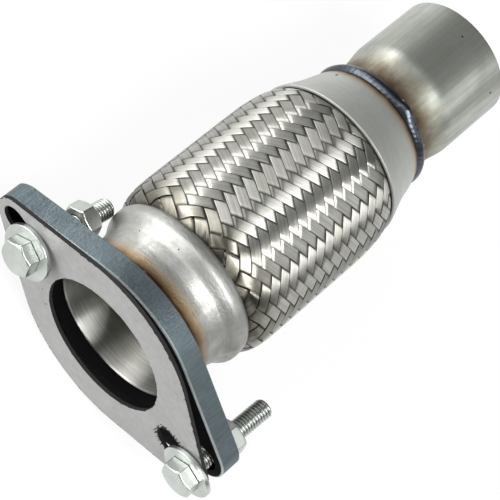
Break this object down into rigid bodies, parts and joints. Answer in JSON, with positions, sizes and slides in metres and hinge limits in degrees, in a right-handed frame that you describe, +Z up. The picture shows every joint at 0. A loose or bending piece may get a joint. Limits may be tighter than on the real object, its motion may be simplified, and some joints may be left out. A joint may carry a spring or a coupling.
{
  "type": "exhaust flex pipe",
  "caption": "Flexible exhaust pipe section: slotted diamond flange with loose gasket and bolts, braided metal sleeve over a bellows, and a plain tube at the outlet.",
  "frame": {"origin": "middle of the inlet neck's open end, 4.5 mm behind the flange's front face, on the pipe's axis", "axes": "+X along the pipe from the flange to the plain outlet tube, +Y along the flange's long axis towards flange_bolt_1, +Z up"},
  "size_m": [0.2023, 0.1271, 0.086],
  "materials": {
    "flange_steel": "blue-grey machined steel plate with fine edge striations",
    "gasket_sheet": "matte light grey sheet, scratched, dark edges",
    "plated_steel": "bright zinc-like plating",
    "stainless_sheet": "satin stainless sheet",
    "braid_wire": "bright drawn wires laid side by side in flat strips",
    "weld_metal": "dark heat-tinted weld",
    "tube_steel": "grey-green drawn tube with faint lengthwise streaks"
  },
  "bodies": {
    "root": {"inlet_flange": "flange_steel", "gasket": "gasket_sheet", "flange_bolt_1": "plated_steel", "flange_bolt_2": "plated_steel", "flange_washer_1": "plated_steel", "flange_washer_2": "plated_steel", "flange_nut_1": "plated_steel", "flange_nut_2": "plated_steel", "inlet_cap": "stainless_sheet", "inlet_weld": "weld_metal", "bellows": "stainless_sheet", "inner_liner": "stainless_sheet", "outer_braid": "braid_wire", "outlet_collar": "stainless_sheet", "outlet_weld": "weld_metal", "outlet_tube": "tube_steel"}
  },
  "joints": []
}
